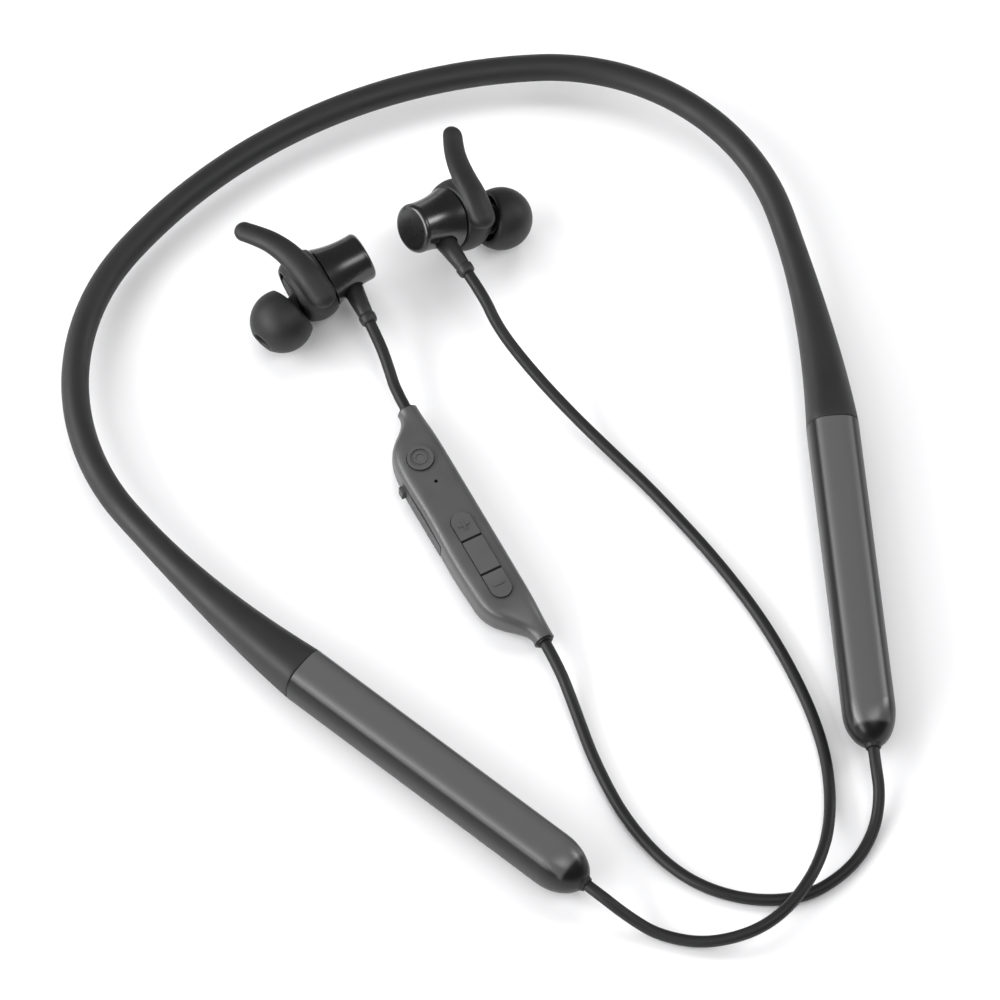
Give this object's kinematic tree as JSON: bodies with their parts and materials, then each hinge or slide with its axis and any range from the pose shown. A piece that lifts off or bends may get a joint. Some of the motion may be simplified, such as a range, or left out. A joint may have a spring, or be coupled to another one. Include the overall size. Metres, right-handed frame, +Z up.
{
  "type": "neckband earphones",
  "caption": "Neckband earphones lying flat: silicone band with two metal pods, inline remote with keys, two magnetic buds on thin cables.",
  "frame": {"origin": "under the middle of the neckband, on the surface it lies on", "axes": "+Z up, +Y from the pod tips to the back of the neck, neckband symmetric about X = 0"},
  "size_m": [0.1456, 0.1909, 0.0185],
  "materials": {
    "band_silicone": "matte silicone",
    "pod_metal": "satin gunmetal",
    "cable_jacket": "matte",
    "remote_plastic": "satin",
    "key_plastic": "satin",
    "flap_rubber": "matte",
    "bud_gloss": "piano gloss",
    "bud_plastic": "satin",
    "soft_silicone": "matte silicone",
    "relief_rubber": "matte",
    "carrier_plastic": "moulded",
    "steel": "bright",
    "magnet_nickel": "nickel plated",
    "circuit_board": "solder mask",
    "chip_black": "epoxy",
    "cell_foil": "foil",
    "foam": "closed cell foam",
    "diaphragm_film": "film",
    "harness_jacket": "insulated wires"
  },
  "bodies": {
    "neckband": {"band_sleeve": "band_silicone", "memory_wire": "steel", "band_harness": "harness_jacket", "cable_left_pod": "cable_jacket", "cable_right_pod": "cable_jacket", "cable_left_bud": "cable_jacket", "remote_top_shell": "remote_plastic", "remote_bottom_shell": "remote_plastic", "remote_board": "circuit_board", "tact_switches": "chip_black", "mic_capsule": "steel", "charging_socket": "steel", "remote_upper_grommet": "cable_jacket", "remote_lower_grommet": "cable_jacket", "left_rear_housing": "bud_gloss", "left_rear_magnet": "magnet_nickel", "left_strain_relief": "relief_rubber", "left_front_housing": "bud_plastic", "left_nozzle_mesh": "steel", "left_driver_frame": "steel", "left_driver_magnet": "magnet_nickel", "left_diaphragm": "diaphragm_film", "right_rear_housing": "bud_gloss", "right_rear_magnet": "magnet_nickel", "right_strain_relief": "relief_rubber", "right_front_housing": "bud_plastic", "right_nozzle_mesh": "steel", "right_driver_frame": "steel", "right_driver_magnet": "magnet_nickel", "right_diaphragm": "diaphragm_film"},
    "left_pod": {"left_pod_shell": "pod_metal", "left_pod_carrier": "carrier_plastic", "left_cable_gland": "cable_jacket", "left_wire_ferrule": "steel", "battery_cell": "cell_foil", "battery_foam": "foam"},
    "right_pod": {"right_pod_shell": "pod_metal", "right_pod_carrier": "carrier_plastic", "right_cable_gland": "cable_jacket", "right_wire_ferrule": "steel", "main_board": "circuit_board", "main_board_chips": "chip_black", "vibration_motor": "steel"},
    "round_button": {"round_key": "key_plastic"},
    "volume_up_button": {"volume_up_key": "key_plastic"},
    "play_button": {"play_key": "key_plastic"},
    "volume_down_button": {"volume_down_key": "key_plastic"},
    "flap": {"port_flap": "flap_rubber"},
    "left_wing": {"left_ear_wing": "soft_silicone"},
    "right_wing": {"right_ear_wing": "soft_silicone"},
    "left_tip": {"left_eartip": "soft_silicone"},
    "right_tip": {"right_eartip": "soft_silicone"}
  },
  "joints": [
    {"name": "left_flex", "type": "hinge", "parent": "neckband", "child": "left_pod", "pos_m": [-0.0701, 0.0317, 0.0053], "axis": [0, 0, -1], "range_deg": [0, 12], "stiffness_Nm_per_rad": 0.05, "deforming": ["band_sleeve", "memory_wire", "band_harness", "cable_left_pod"]},
    {"name": "right_flex", "type": "hinge", "parent": "neckband", "child": "right_pod", "pos_m": [0.0701, 0.0317, 0.0053], "axis": [0, 0, 1], "range_deg": [0, 12], "stiffness_Nm_per_rad": 0.05, "deforming": ["band_sleeve", "memory_wire", "band_harness", "cable_right_pod"]},
    {"name": "round_press", "type": "slide", "parent": "neckband", "child": "round_button", "axis": [0, 0, -1], "range_m": [0, 0.0003], "stiffness_N_per_m": 800},
    {"name": "volume_up_press", "type": "slide", "parent": "neckband", "child": "volume_up_button", "axis": [0, 0, -1], "range_m": [0, 0.0003], "stiffness_N_per_m": 800},
    {"name": "play_press", "type": "slide", "parent": "neckband", "child": "play_button", "axis": [0, 0, -1], "range_m": [0, 0.0003], "stiffness_N_per_m": 800},
    {"name": "volume_down_press", "type": "slide", "parent": "neckband", "child": "volume_down_button", "axis": [0, 0, -1], "range_m": [0, 0.0003], "stiffness_N_per_m": 800},
    {"name": "flap_open", "type": "hinge", "parent": "neckband", "child": "flap", "pos_m": [-0.0211, -0.0104, 0.00345], "axis": [0, 0, 1], "range_deg": [0, 100]},
    {"name": "left_wing_turn", "type": "hinge", "parent": "neckband", "child": "left_wing", "pos_m": [-0.0175, 0.04896, 0.00775], "axis": [0.9914, 0.0364, 0.1253], "range_deg": [0, 25]},
    {"name": "right_wing_turn", "type": "hinge", "parent": "neckband", "child": "right_wing", "pos_m": [0.01414, 0.04863, 0.0097], "axis": [0.9115, 0.0942, -0.4003], "range_deg": [0, 25]},
    {"name": "left_tip_turn", "type": "hinge", "parent": "neckband", "child": "left_tip", "pos_m": [-0.01842, 0.04775, 0.0074], "axis": [-0.9309, -0.3217, -0.1732], "continuous": true},
    {"name": "right_tip_turn", "type": "hinge", "parent": "neckband", "child": "right_tip", "pos_m": [0.01511, 0.04753, 0.00916], "axis": [0.8873, -0.2, -0.4155], "continuous": true}
  ]
}
